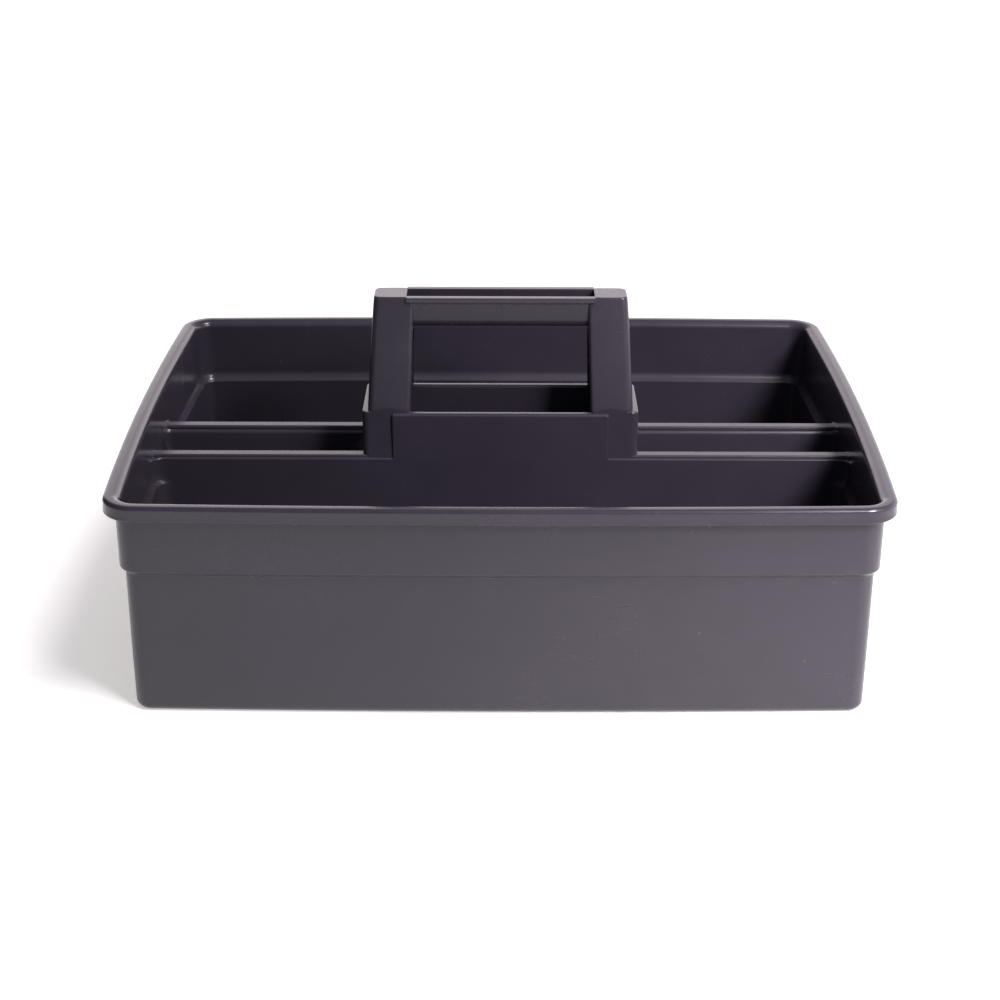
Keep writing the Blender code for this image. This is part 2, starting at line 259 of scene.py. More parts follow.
def plastic_material(name, colour, look):
    """Satin moulded plastic: fine grain, soft gloss changes, flow marks, rubbed edges."""
    material = bpy.data.materials.new(name)
    material.use_nodes = True
    tree = material.node_tree
    tree.nodes.clear()
    start = Wire(tree)
    place = start.node("TexCoord", output=OBJECT_PLACE)
    cloud = start.node("TexNoise", inputs={
        "Vector": place, "Scale": 14.0, "Detail": 3.0, "Roughness": 0.55})
    drift = start.node("TexNoise", inputs={
        "Vector": place, "Scale": 70.0, "Detail": 4.0, "Roughness": 0.6})
    grain = start.node("TexNoise", inputs={
        "Vector": place, "Scale": 1.0 / look.grain, "Detail": 2.0, "Roughness": 0.5})
    fleck = start.node("TexVoronoi", {"feature": "F1"}, {
        "Vector": place, "Scale": 0.7 / look.grain, "Randomness": 1.0})
    streak_place = start.node("Mapping", inputs={
        "Vector": place, "Scale": (60.0, 60.0, 900.0), "Rotation": (0.25, 0.4, 0.1)})
    streak = start.node("TexNoise", inputs={
        "Vector": streak_place, "Scale": 1.0, "Detail": 2.0, "Roughness": 0.7})
    convex = start.node("NewGeometry", output=POINTINESS).ramp(0.53, 0.66)
    rub = convex * drift.ramp(0.42, 0.66)
    mark = streak.ramp(0.70, 0.80) * cloud.ramp(0.45, 0.62)
    tone = cloud * 0.7 + drift * 0.3
    base = tone.ramp(0.30, 0.70).blend(opaque(colour, 0.93), opaque(colour, 1.07))
    speck = (1.0 - fleck.ramp(0.05, 0.28)) * 0.16
    base = speck.blend(base, opaque(colour, 1.5))
    base = (rub * 0.14).blend(base, opaque(colour, 2.6))
    rough = (cloud - 0.5) * 0.12 + (drift - 0.5) * 0.10 + mark * 0.04 + rub * 0.08
    rough = rough + look.gloss
    relief = start.node("Bump", inputs={
        "Strength": 0.5, "Distance": 0.00002, "Height": grain})
    wave = start.node("Bump", inputs={
        "Strength": 0.30, "Distance": 0.0006, "Height": cloud, "Normal": relief})
    shader = start.node("BsdfPrincipled", inputs={
        "Base Color": base, "Roughness": rough, "Normal": wave, "IOR": 1.50})
    start.node("OutputMaterial", inputs={"Surface": shader})
    return material


def plastic(context, slot):
    """The material of a slot, made once."""
    look = context.scene.caddy.plastic
    colours = {"tub_plastic": look.tub_colour, "handle_plastic": look.handle_colour}
    name = "satin_" + slot
    return bpy.data.materials.get(name) or plastic_material(name, tuple(colours[slot]), look)


# --- mesh helpers ------------------------------------------------------------------------
def finished(shape, name):
    """Turn a mesh under construction into mesh data."""
    mesh = bpy.data.meshes.new(name)
    shape.to_mesh(mesh)
    shape.free()
    return mesh


def skin(rings):
    """A mesh skinned over closed rings of points, with its ends closed."""
    shape = bmesh.new()
    rows = [[shape.verts.new(point) for point in ring] for ring in rings]
    for lower, upper in zip(rows, rows[1:]):
        count = len(lower)
        for k in range(count):
            after = (k + 1) % count
            shape.faces.new((lower[k], lower[after], upper[after], upper[k]))
    shape.faces.new(list(reversed(rows[0])))
    shape.faces.new(rows[-1])
    bmesh.ops.recalc_face_normals(shape, faces=shape.faces)
    return finished(shape, "skin")


def place_piece(context, name, mesh, slot, *nodes):
    """Link a piece, smooth it, give it its plastic and let it stand for its CAD nodes."""
    mesh.name = name
    mesh.shade_smooth()
    mesh.set_sharp_from_angle(angle=math.radians(SHARP_DEGREES))
    mesh.materials.clear()
    mesh.materials.append(plastic(context, slot))
    piece = bpy.data.objects.new(name, mesh)
    context.scene.collection.objects.link(piece)
    even = piece.modifiers.new("even_shading", "WEIGHTED_NORMAL")
    even.keep_sharp = True
    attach(piece, BODY)
    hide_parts(*nodes)


def carve(context, mesh, cutters, round_width):
    """A mesh with others cut out of it, and its sharp cut edges rounded a little."""
    body = bpy.data.objects.new("blank", mesh)
    context.scene.collection.objects.link(body)
    tools = []
    for cutter in cutters:
        tool = bpy.data.objects.new("cutter", cutter)
        context.scene.collection.objects.link(tool)
        step = body.modifiers.new("cut", "BOOLEAN")
        step.operation = "DIFFERENCE"
        step.solver = "EXACT"
        step.object = tool
        tools.append(tool)
    edge = body.modifiers.new("edges", "BEVEL")
    edge.width = round_width
    edge.segments = 3
    edge.limit_method = "ANGLE"
    edge.angle_limit = math.radians(60)
    edge.use_clamp_overlap = True
    graph = context.evaluated_depsgraph_get()
    result = bpy.data.meshes.new_from_object(body.evaluated_get(graph))
    for item in [body, *tools]:
        bpy.data.objects.remove(item)
    if not result.polygons:
        raise RuntimeError("a carved piece came out empty")
    return result


def arc(centre_a, centre_b, radius, start, end, steps):
    """Points of an arc as pairs; the angles are in degrees."""
    points = []
    for k in range(steps + 1):
        angle = math.radians(start + (end - start) * k / steps)
        points.append((centre_a + radius * math.cos(angle), centre_b + radius * math.sin(angle)))
    return points


# --- tub ---------------------------------------------------------------------------------
SIDE_STEPS = 30
CORNER_STEPS = 14
CORNER_SHRINK = 0.92
LEAST_CORNER = 2.0 * MM
WALL_BOW = 0.8
LEDGE_TILT = math.radians(58)
LEDGE_STEPS = 9
UPPER_BAND = 20 * MM
RIM_FILLET = 1.2 * MM
SKIRT_EDGE = 0.5 * MM
LIP_FACE = 0.2 * MM
FLAT_CORNER = 6 * MM
FLAT_INSETS = [1.5, 4.0, 14.0, 45.0, 90.0]

# The outer step, from below, as (share of its width, extra millimetres inwards, share of its
# height, extra millimetres upwards).
OUTER_STEP = (
    (1, 0.05, -0.5, -0.6), (1, -0.15, -0.5, -0.1), (0, 0.25, 0.5, -0.35), (0, 0.05, 0.5, 0.3),
)


def quarter_turned(along, aside, turns):
    """A plan point turned by quarter turns."""
    for _ in range(turns):
        along, aside = -aside, along
    return along, aside


def tub_outline(sizes, inset, radius, bow=1.0):
    """Plan outline at an inset from the rim: a rounded rectangle with bulging sides."""
    bow_side, bow_front = sizes.bow_side * bow, sizes.bow_front * bow
    half_x = HALF_LENGTH - bow_side - inset
    half_y = HALF_WIDTH - bow_front - inset
    points = []
    for turn in range(4):
        reach, breadth = (half_x, half_y) if turn % 2 == 0 else (half_y, half_x)
        for step in range(1, SIDE_STEPS):
            slide = (breadth - radius) * (2 * step / SIDE_STEPS - 1)
            points.append(quarter_turned(reach, slide, turn))
        for along, aside in arc(reach - radius, breadth - radius, radius, 0, 90, CORNER_STEPS):
            points.append(quarter_turned(along, aside, turn))
    bulged = []
    for x, y in points:
        bulge_x = bow_side * (1 - (y / half_y) ** 2) * x / half_x
        bulge_y = bow_front * (1 - (x / half_x) ** 2) * y / half_y
        bulged.append((x + bulge_x, y + bulge_y))
    return bulged


def ledge_sizes(sizes):
    """The inner ledge's width, the radius of its hollow, and the heights of its edge and top."""
    width = sizes.step_width + 0.5 * MM
    radius = width / (1 - math.cos(LEDGE_TILT))
    edge = RIM_TOP - sizes.step_drop + 0.5 * MM
    return width, radius, edge, edge + radius * math.sin(LEDGE_TILT)


def inner_inset(sizes, height):
    """Inset of the tub's inner face at a height."""
    width, radius, edge, top = ledge_sizes(sizes)
    if height <= edge:
        return sizes.rim_width + width
    depth = max(0.0, top - height)
    return sizes.rim_width + radius - math.sqrt(radius * radius - depth * depth)


def wall_reach(sizes, height, y):
    """Half length of the tub's inside at a height and a distance from the middle."""
    inset = inner_inset(sizes, height)
    half_x = HALF_LENGTH - sizes.bow_side - inset
    half_y = HALF_WIDTH - sizes.bow_front - inset
    return half_x + sizes.bow_side * (1 - (y / half_y) ** 2)


def tub_profile(sizes):
    """The tub's section as (inset, height) pairs, from under the base round to the floor."""
    wall = sizes.wall
    outer = sizes.rim_width - wall
    step = RIM_TOP - sizes.step_drop
    chamfer = sizes.step_width
    low = outer + chamfer
    base = sizes.base_radius
    points = arc(low + 0.4 * MM + base, base, base, 270, 180, 7)
    points.append((low + 0.2 * MM, 30 * MM))
    for share, inwards, part, upwards in OUTER_STEP:
        points.append((outer + chamfer * share + inwards * MM,
                       step + chamfer * part + upwards * MM))
    points.append((outer, RIM_TOP - UPPER_BAND))

    under = RIM_TOP - wall
    skirt = wall - 0.2 * MM
    foot = RIM_TOP - sizes.rim_drop
    points += arc(outer - RIM_FILLET, under - RIM_FILLET, RIM_FILLET, 0, 90, 4)
    points += arc(skirt + RIM_FILLET, under - RIM_FILLET, RIM_FILLET, 90, 180, 4)
    points += arc(skirt - SKIRT_EDGE, foot + SKIRT_EDGE, SKIRT_EDGE, 0, -90, 3)
    points += arc(sizes.bead, foot + sizes.bead, sizes.bead, 270, 170, 5)
    points += [(LIP_FACE, foot + 2.2 * MM), (LIP_FACE, foot + 3.4 * MM)]
    rounding = sizes.rim_round_out
    points += arc(rounding + LIP_FACE, RIM_TOP - rounding, rounding, 180, 90, 8)
    inner = sizes.rim_width
    rounding = sizes.rim_round_in
    points += arc(inner - rounding, RIM_TOP - rounding, rounding, 90, 0, 9)

    width, _, edge, top = ledge_sizes(sizes)
    inner_low = inner + width
    points += [(inner, RIM_TOP - UPPER_BAND), (inner, top + 1.0 * MM)]
    for k in range(LEDGE_STEPS):
        height = top + (edge - top) * k / LEDGE_STEPS
        points.append((inner_inset(sizes, height), height))
    points += [(inner_low - 0.15 * MM, edge + 0.1 * MM), (inner_low, edge - 0.15 * MM)]
    points += [(inner_low, edge - 0.8 * MM), (inner_low + 0.2 * MM, 40 * MM)]
    radius = sizes.floor_radius
    points += arc(inner_low + 0.5 * MM + radius, wall + radius, radius, 180, 270, 7)
    return points


def make_tub(context):
    """The tub as one closed skin."""
    sizes = context.scene.caddy.tub
    profile = tub_profile(sizes)

    def ring(inset, height, bow=1.0):
        radius = max(LEAST_CORNER, sizes.rim_radius - CORNER_SHRINK * inset)
        return [(x, y, height) for x, y in tub_outline(sizes, inset, radius, bow)]

    def flat_ring(start, extra):
        inset, height = start
        outline = tub_outline(sizes, inset + extra * MM, FLAT_CORNER)
        return [(x, y, height) for x, y in outline]

    base = (profile[0][0], 0.0)
    rings = [flat_ring(base, extra) for extra in reversed(FLAT_INSETS)]
    outer_wall = sizes.rim_width - sizes.wall - 0.5 * MM
    under_rim = RIM_TOP - sizes.wall - 0.5 * MM
    outside = True
    for inset, height in profile:
        outside = outside and height <= under_rim
        rings.append(ring(inset, height, WALL_BOW if outside and inset > outer_wall else 1.0))
    rings += [flat_ring(profile[-1], extra) for extra in FLAT_INSETS]
    place_piece(context, "tub_shell", skin(rings), "tub_plastic", "tub")


# --- dividers ----------------------------------------------------------------------------
CREST_DROP = 0.3 * MM
DIVIDER_FOOT = 3 * MM
FACE_HEIGHTS = (20, 40, 60, 74, 77.5, 78.6, 79.6, 80.4, 81.2, 82.4, 86, 90)
WALL_GAPS = (
    0, 0.12, 0.35, 0.7, 1.2, 1.8, 2.6, 3.6, 4.8, 6.2, 8.0, 9.5, 14, 22, 34, 50, 70, 95,
)
MIDDLE_PLACES = (50, 35, 18, 0)
WALL_SINK = 0.5 * MM
CORNER_FLARE = 1.6 * MM
LAND_FLARE = 1.5 * MM


def divider_section(sizes, wall, shoulder):
    """Half of a divider's section as (offset, height, part), from its foot to its crest."""
    half = sizes.width / 2
    foot = half + sizes.draft
    ledge = DIVIDER_TOP - sizes.land_height
    land = half - sizes.land_step
    crest = DIVIDER_TOP - CREST_DROP
    low = arc(foot + DIVIDER_FOOT, wall + DIVIDER_FOOT - 0.1 * MM, DIVIDER_FOOT, 270, 180, 5)
    slope = (foot - half) / (ledge - wall)
    for height in FACE_HEIGHTS:
        low.append((foot - slope * (height * MM - wall), height * MM))
    edge = arc(half - shoulder, ledge - shoulder, shoulder, 0, 72, 6)
    top = [(land, ledge + 0.4 * MM)]
    top += arc(land - sizes.land_round, crest - sizes.land_round, sizes.land_round, 0, 90, 6)
    points = [(a, b, "face") for a, b in low] + [(a, b, "edge") for a, b in edge]
    points.append((land + 0.12 * MM, ledge + 0.10 * MM, "corner"))
    return points + [(a, b, "land") for a, b in top]


def flare(distance, radius):
    """How far an upright fillet stands out at a distance from the wall."""
    if radius <= 0 or distance >= radius:
        return 0.0
    short = radius - max(0.0, distance)
    return radius - math.sqrt(max(0.0, radius * radius - short * short))


def make_divider(context, name, side):
    """One divider, from wall to wall. side is -1 at the front."""
    sizes = context.scene.caddy.divider
    tub = context.scene.caddy.tub
    bay = divider_section(sizes, tub.wall, sizes.bay_round)
    channel = divider_section(sizes, tub.wall, sizes.channel_round)
    centre = side * sizes.pitch / 2
    half = sizes.width / 2
    ledge = DIVIDER_TOP - sizes.land_height
    bay_flares = {"face": sizes.bay_fillet, "edge": sizes.bay_fillet}
    channel_flares = {"face": sizes.channel_fillet, "edge": sizes.channel_fillet}
    for flares in (bay_flares, channel_flares):
        flares.update(corner=CORNER_FLARE, land=LAND_FLARE)
    sides = ((1, bay, bay_flares), (-1, list(reversed(channel)), channel_flares))
    stations = [(True, gap * MM) for gap in WALL_GAPS]
    stations += [(False, PANEL_HALF + 0.02 * MM), (False, PANEL_HALF)]
    stations += [(False, x * MM) for x in MIDDLE_PLACES]

    def ring(end, from_wall, value):
        under_panel = not from_wall and value <= PANEL_HALF
        points = []
        for outward, section, flares in sides:
            for offset, height, part in section:
                if under_panel and part == "edge" and outward == 1:
                    offset, height = half, ledge
                reach = wall_reach(tub, height, centre)
                x = reach + WALL_SINK - value if from_wall else value
                y = centre + side * outward * (offset + flare(reach - x, flares[part]))
                points.append((end * x, y, height))
        return points

    rings = [ring(-1, *station) for station in stations]
    rings += [ring(1, *station) for station in reversed(stations[:-1])]
    shape = bmesh.new()
    shape.from_mesh(skin(rings))
    bmesh.ops.remove_doubles(shape, verts=shape.verts, dist=WELD)
    bmesh.ops.dissolve_degenerate(shape, edges=shape.edges, dist=WELD)
    place_piece(context, name + "_ridge", finished(shape, name), "tub_plastic", name)


# --- panels ------------------------------------------------------------------------------
PANEL_STEPS = 24
PANEL_ROUND_STEPS = 8
TONGUE = 2 * MM
TONGUE_INSET = 0.3 * MM
LEAST_EDGE = 0.1 * MM


def make_panel(context, name, side):
    """One centre panel, flush with the divider under it, on a tongue sunk into the divider."""
    sizes = context.scene.caddy.tower
    divider = context.scene.caddy.divider
    low_face = divider.pitch / 2 + divider.width / 2
    base = DIVIDER_TOP - divider.land_height
    rounding = sizes.panel_round

    def ring(height, inset=0.0):
        share = (height - base) / (PANEL_TOP - base)
        lean = low_face - sizes.panel_draft * max(0.0, share)
        face, back = lean - inset, lean - sizes.panel_wall + inset
        reach = PANEL_HALF - inset
        edge = max(LEAST_EDGE, sizes.panel_edge - inset)
        straight = reach - edge
        points = arc(straight, face - edge, edge, 0, 90, 4)
        for k in range(1, PANEL_STEPS):
            points.append((straight - 2 * straight * k / PANEL_STEPS, face))
        points += arc(-straight, face - edge, edge, 90, 180, 4)
        for k in range(PANEL_STEPS + 1):
            points.append((-reach + 2 * reach * k / PANEL_STEPS, back))
        return [(x, side * y, height) for x, y in points]

    start = PANEL_TOP - rounding
    rings = [ring(base - TONGUE, TONGUE_INSET), ring(base, TONGUE_INSET), ring(base)]
    rings += [ring(base + 1 * MM), ring(base + 8 * MM), ring(start - 6 * MM), ring(start)]
    for inset, height in arc(rounding, start, rounding, 180, 90, PANEL_ROUND_STEPS)[1:]:
        rings.append(ring(height, inset))
    place_piece(context, name + "_plate", skin(rings), "handle_plastic", name)


# --- legs --------------------------------------------------------------------------------
FOOT_BOTTOM = 94.7 * MM
FOOT_GAP = 0.02 * MM
SHOULDER_ROUND = 0.8 * MM
SHOULDER_RISE = 0.4 * MM
LEG_TOP_ROUND = 0.9 * MM
FACE_BLEND = 0.15 * MM
LEG_STEPS = 12

# Levels in millimetres: the foot's are up from its underside, the others up from the floor.
FOOT_HEIGHTS = (0.0, 2.0, 6.0, 12.0, 18.0, 22.0, 24.0)
LEG_HEIGHTS = (
    121.9, 122.6, 123.3, 124.0, 125, 126.5, 128, 130, 132, 134, 138, 144, 150, 156, 162, 168,
    174, 178,
)
FOOT_HOLLOW_TOP = 118.5
OPEN_HOLLOW = (90, 100, 112, 119, 122, 128, 140, 152, 162.0)
CLOSED_HOLLOW = (163.0, 172, 179.2)
HOLLOW_END = 53.1 * MM
WINDOW_CUT_LOW = 122 * MM
WINDOW_CUT_START, WINDOW_CUT_END = 40 * MM, 52 * MM
FOOT_CUT_END = 56 * MM
FOOT_CUT_LOW, FOOT_CUT_HIGH = 90 * MM, 122.5 * MM
FOOT_CUT_HALF = 20 * MM
LIP_LAND = 1.0 * MM
SEAT_GAP = 0.02 * MM
SEAT_DROP = 0.3 * MM
SEAT_HIGH = 190 * MM
CUT_ROUND = 0.35 * MM


def share_down(height):
    """How far down the tower a height is: 0 at its top, 1 at the top of the panels."""
    return (TOWER_TOP - height) / (TOWER_TOP - PANEL_TOP)


def leg_half_depth(height):
    """Half the tower's depth at a height, on the lean of the legs."""
    return 8.8 * MM + 14.5 * MM * share_down(height)


def foot_half_depth(height):
    """Half the foot's depth at a height."""
    share = (height - FOOT_BOTTOM) / (PANEL_TOP - FOOT_BOTTOM)
    return 25.2 * MM - 1.9 * MM * share


def window_side(height):
    """Half length of the hand opening at a height."""
    return 46.9 * MM + 2.1 * MM * share_down(height)


def leg_side(height):
    """Half length over the legs at a height."""
    return 68.4 * MM + 3.9 * MM * min(1.0, share_down(height)) ** 0.85


def leg_outline(sizes, height, outer, inset=0.0, inner=None):
    """Closed plan outline of a right leg at a height."""
    near = window_side(height) if inner is None else inner
    near, far = near + inset, outer - inset
    roll = max(0.1 * MM, sizes.roll - inset)
    edge = max(0.3 * MM, sizes.leg_edge - inset)
    middle, spread = (near + far) / 2, (far - near) / 2

    def depth(x):
        crown = sizes.leg_crown * (1 - ((x - middle) / spread) ** 2)
        lean, foot = leg_half_depth(height) + crown, foot_half_depth(height)
        soft = max(FACE_BLEND - abs(lean - foot), 0.0) / FACE_BLEND
        return min(lean, foot) - soft * soft * FACE_BLEND / 4 - inset

    near_flat, far_flat = near + roll, far - edge
    near_depth, far_depth = depth(near_flat) - roll, depth(far_flat) - edge
    front = arc(near_flat, near_depth, roll, 180, 90, 6)
    for k in range(1, LEG_STEPS):
        x = near_flat + (far_flat - near_flat) * k / LEG_STEPS
        front.append((x, depth(x)))
    front += arc(far_flat, far_depth, edge, 90, 0, 8)
    turns = [2 * k / LEG_STEPS - 1 for k in range(1, LEG_STEPS)]
    side = [(far, -far_depth * turn) for turn in turns]
    back = [(x, -y) for x, y in reversed(front)]
    window = [(near, near_depth * turn) for turn in turns]
    return front + side + back + window


def leg_ring(sizes, height, outer, inset=0.0, inner=None, lift=None):
    """A leg's outline as points at a height, or lifted to another one."""
    level = height if lift is None else lift
    return [(x, y, level) for x, y in leg_outline(sizes, height, outer, inset, inner)]


def leg_mesh(sizes):
    """A right leg's outer skin, from the foot to the top."""
    bottom = FOOT_BOTTOM + FOOT_GAP
    rings = [leg_ring(sizes, bottom + height * MM, FOOT_SIDE) for height in FOOT_HEIGHTS]
    ledge = PANEL_TOP + SHOULDER_RISE
    for out, height in arc(FOOT_SIDE - SHOULDER_ROUND, ledge - SHOULDER_ROUND, SHOULDER_ROUND,
                           0, 90, 4):
        rings.append(leg_ring(sizes, height, out))
    above = leg_side(ledge)
    rings.append(leg_ring(sizes, ledge + 0.02 * MM, above + 0.5 * MM))
    rings.append(leg_ring(sizes, ledge + 0.12 * MM, above + 0.12 * MM))
    for height in (ledge + 0.5 * MM, *(height * MM for height in LEG_HEIGHTS)):
        rings.append(leg_ring(sizes, height, leg_side(height)))
    for inset, height in arc(LEG_TOP_ROUND, TOWER_TOP - LEG_TOP_ROUND, LEG_TOP_ROUND,
                             180, 90, 5):
        rings.append(leg_ring(sizes, height, leg_side(height), inset))
    return skin(rings)


def leg_cavity(sizes):
    """What is cut out of a leg: its hollow, closed beside the end of the grip."""
    wall = sizes.leg_wall
    rings = []
    for height in (*OPEN_HOLLOW, *CLOSED_HOLLOW):
        high = max(height * MM, FOOT_BOTTOM)
        inner = HOLLOW_END - wall if height in CLOSED_HOLLOW else None
        side = leg_side(high) if height > FOOT_HOLLOW_TOP else FOOT_SIDE
        rings.append(leg_ring(sizes, high, side, wall, inner, lift=height * MM))
    return skin(rings)


def tapered_block(x0, x1, low, low_half, high, high_half):
    """A block between two heights, each with its own half depth, to cut with."""
    rings = []
    for height, half in ((low, low_half), (high, high_half)):
        rings.append([(x0, -half, height), (x1, -half, height), (x1, half, height),
                      (x0, half, height)])
    return skin(rings)


def make_leg(context, name, side):
    """One leg, a channel section that is open towards the hand opening."""
    sizes = context.scene.caddy.tower
    lip = sizes.roll + LIP_LAND
    start, low, high = WINDOW_CUT_START, WINDOW_CUT_LOW, OPEN_HOLLOW[-1] * MM
    seat = sizes.grip_half + SEAT_GAP
    cutters = [
        leg_cavity(sizes),
        tapered_block(start, WINDOW_CUT_END, low, leg_half_depth(low) - lip,
                      high, leg_half_depth(high) - lip),
        tapered_block(start, FOOT_CUT_END, FOOT_CUT_LOW, FOOT_CUT_HALF,
                      FOOT_CUT_HIGH, FOOT_CUT_HALF),
        tapered_block(start, sizes.slot_end, GRIP_UNDER - SEAT_DROP, seat, SEAT_HIGH, seat),
    ]
    mesh = carve(context, leg_mesh(sizes), cutters, CUT_ROUND)
    if side < 0:
        for vert in mesh.vertices:
            vert.co.x = -vert.co.x
        mesh.flip_normals()
    place_piece(context, name + "_channel", mesh, "handle_plastic", name)


# --- grip --------------------------------------------------------------------------------
LIP_CORNER = 0.35 * MM
LIP_ROUND = 0.8 * MM
SLOT_ROUND = 0.6 * MM
SLOT_HOLLOW = 1.2 * MM
SLOT_DRAFT = 0.25 * MM
GRIP_STEPS = 24


def grip_section(sizes):
    """Half of the grip's section as (distance from the middle, height), from its underside."""
    face, slot, under = sizes.grip_half, sizes.slot_half, sizes.grip_round
    lip = face + sizes.lip_out
    lip_under = TOWER_TOP - sizes.lip_height
    floor = GRIP_UNDER + sizes.slot_floor
    points = [(0.0, GRIP_UNDER)]
    points += arc(face - under, GRIP_UNDER + under, under, 270, 360, 8)
    points += arc(face + LIP_CORNER, lip_under - LIP_CORNER, LIP_CORNER, 180, 90, 3)
    points += arc(lip - LIP_CORNER, lip_under + LIP_CORNER, LIP_CORNER, 270, 360, 3)
    points += arc(lip - LIP_ROUND, TOWER_TOP - LIP_ROUND, LIP_ROUND, 0, 90, 5)
    points += arc(slot + SLOT_ROUND, TOWER_TOP - SLOT_ROUND, SLOT_ROUND, 90, 180, 4)
    points += arc(slot - SLOT_DRAFT - SLOT_HOLLOW, floor + SLOT_HOLLOW, SLOT_HOLLOW, 0, -90, 4)
    points += [(0.0, floor)]
    return points


def make_grip(context):
    """The trough grip between the legs."""
    sizes = context.scene.caddy.tower
    half = grip_section(sizes)
    section = half + [(-a, b) for a, b in reversed(half[1:-1])]
    rings = []
    for k in range(GRIP_STEPS + 1):
        x = sizes.slot_end * (2 * k / GRIP_STEPS - 1)
        rings.append([(x, y, z) for y, z in section])
    place_piece(context, "grip_trough", skin(rings), "handle_plastic", "grip")


# --- stage -------------------------------------------------------------------------------
def area_light(context, name, spot, target, size, power, colour, spread=math.pi):
    """A soft square light aimed at a point."""
    light = bpy.data.lights.new(name, "AREA")
    light.shape = "RECTANGLE"
    light.size, light.size_y = size
    light.energy = power
    light.color = colour
    light.spread = spread
    lamp = bpy.data.objects.new(name, light)
    lamp.location = spot
    aim = Vector(target) - Vector(spot)
    lamp.rotation_euler = aim.to_track_quat("-Z", "Y").to_euler()
    lamp.visible_camera = False
    context.scene.collection.objects.link(lamp)


FLOOR_REACH = 7.0
FLOOR_STEPS = 8
FLOOR_GLOW = (1.0, 0.96, 0.90, 1.0)
BRIGHT_BEHIND = (2.2, 2.02, 2.10, 1.0)
HIGH_BEHIND = (0.70, 0.66, 0.72, 1.0)
OVERHEAD = (0.26, 0.26, 0.33, 1.0)
LOW_FRONT = (0.21, 0.21, 0.25, 1.0)
DARK_LEFT = (0.03, 0.03, 0.04, 1.0)
CARD = (0.01, 0.01, 0.01, 1.0)
LEFT_CARD = ((-0.75, -0.9, 0.0), (-0.75, 0.7, 0.0), (-0.75, 0.7, 0.9), (-0.75, -0.9, 0.9))
KEY_DIRECTION = (0.41, -0.285, 0.866)
KEY_DEGREES = 16.0
KEY_COLOUR = (1.0, 0.975, 0.98)
SIDE_SPOT = (0.95, -0.62, 0.62)
SIDE_TARGET = (0.0, 0.0, 0.08)
SIDE_SIZE = (0.5, 0.5)
SIDE_COLOUR = (1.0, 0.97, 0.97)
BEAM_SPOT = (0.62, -0.80, 0.78)
BEAM_TARGET = (0.22, 0.0, 0.06)
BEAM_SIZE = (0.3, 0.3)
BEAM_COLOUR = (1.0, 0.98, 1.0)
CAMERA_PLACE = (0.000635, -1.010383, 0.502099)
CAMERA_LENS = 70.0
CAMERA_YAW, CAMERA_TILT, CAMERA_ROLL = 0.041, 66.304, 0.147


def make_floor(context, colour, glow):
    """A wide pale floor, lit a little from below."""
    shape = bmesh.new()
    marks = [FLOOR_REACH * (2 * k / FLOOR_STEPS - 1) for k in range(FLOOR_STEPS + 1)]
    grid = [[shape.verts.new((x, y, 0.0)) for y in marks] for x in marks]
    for first, second in zip(grid, grid[1:]):
        for k in range(FLOOR_STEPS):
            shape.faces.new((first[k], second[k], second[k + 1], first[k + 1]))
    mesh = finished(shape, "floor")
    floor = bpy.data.objects.new("floor", mesh)
    context.scene.collection.objects.link(floor)
    material = bpy.data.materials.new("pale_floor")
    material.use_nodes = True
    material.node_tree.nodes.clear()
    start = Wire(material.node_tree)
    place = start.node("TexCoord", output=OBJECT_PLACE)
    cloud = start.node("TexNoise", inputs={"Vector": place, "Scale": 3.0, "Detail": 3.0})
    tint = cloud.ramp(0.3, 0.7).blend(opaque(colour, 0.99), opaque(colour))
    shader = start.node("BsdfPrincipled", inputs={
        "Base Color": tint, "Roughness": 0.8, "Specular IOR Level": 0.2,
        "Emission Color": FLOOR_GLOW, "Emission Strength": glow})
    start.node("OutputMaterial", inputs={"Surface": shader})
    mesh.materials.append(material)


def make_world(context):
    """Soft surrounding light: bright low behind, dim above and in front, dark at the left."""
    world = bpy.data.worlds.new("studio")
    world.use_nodes = True
    context.scene.world = world
    world.node_tree.nodes.clear()
    start = Wire(world.node_tree)
    place = start.node("TexCoord", output=GENERATED_PLACE)
    across, depth, height = (
        start.node("SeparateXYZ", inputs={0: place}, output=axis) for axis in range(3))
    above = height.ramp(0.55, 0.92).blend(HIGH_BEHIND, OVERHEAD)
    behind = height.ramp(0.27, 0.52).blend(BRIGHT_BEHIND, above)
    front = height.ramp(0.20, 0.60).blend(LOW_FRONT, OVERHEAD)
    colour = depth.ramp(-0.35, 0.45).blend(front, behind)
    colour = across.ramp(-0.80, -0.25).blend(DARK_LEFT, colour)
    glow = start.node("Background", inputs={0: colour, 1: 1.0})
    start.node("OutputWorld", inputs={"Surface": glow})


def make_card(context, name, corners):
    """A dark card that keeps stray light off the caddy. The camera doesn't see it."""
    shape = bmesh.new()
    shape.faces.new([shape.verts.new(corner) for corner in corners])
    mesh = finished(shape, name)
    card = bpy.data.objects.new(name, mesh)
    context.scene.collection.objects.link(card)
    material = bpy.data.materials.new("dark_card")
    material.use_nodes = True
    material.node_tree.nodes["Principled BSDF"].inputs["Base Color"].default_value = CARD
    mesh.materials.append(material)
    card.visible_camera = False
    card.visible_shadow = False


def sun_light(context, name, direction, strength, degrees, colour):
    """A sun, which lights the floor evenly."""
    light = bpy.data.lights.new(name, "SUN")
    light.energy = strength
    light.angle = math.radians(degrees)
    light.color = colour
    lamp = bpy.data.objects.new(name, light)
    lamp.rotation_euler = (-Vector(direction)).to_track_quat("-Z", "Y").to_euler()
    context.scene.collection.objects.link(lamp)


